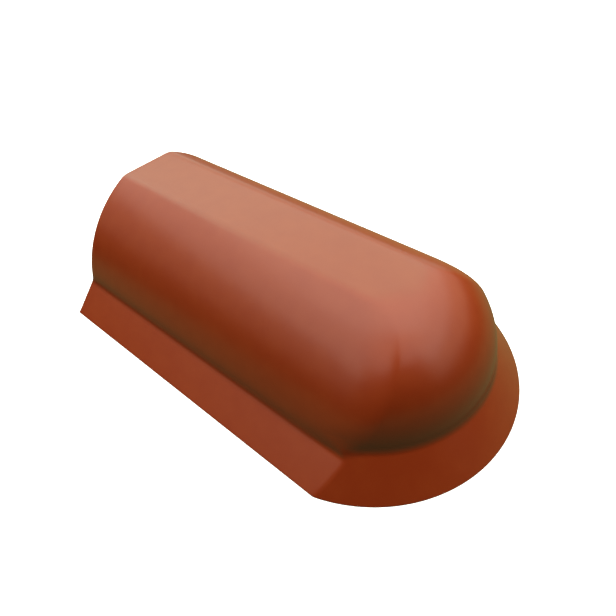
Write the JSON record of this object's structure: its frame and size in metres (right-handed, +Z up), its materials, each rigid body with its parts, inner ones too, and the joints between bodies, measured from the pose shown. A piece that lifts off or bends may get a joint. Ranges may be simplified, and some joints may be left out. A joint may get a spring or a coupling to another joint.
{
  "type": "ridge end tile",
  "caption": "Vaulted roof ridge tile with a flat crown, one square open end, one domed closed end and a sloping flange along both sides and round the dome.",
  "frame": {"origin": "centre of the bounding box at the level of the flange's foot", "axes": "+X along the ridge towards the domed end, +Y across the ridge, +Z up"},
  "size_m": [0.4124, 0.26, 0.115],
  "materials": {
    "tile_body": "satin red-brown engobe on fired clay"
  },
  "bodies": {
    "root": {"ridge_end_tile": "tile_body"}
  },
  "joints": []
}
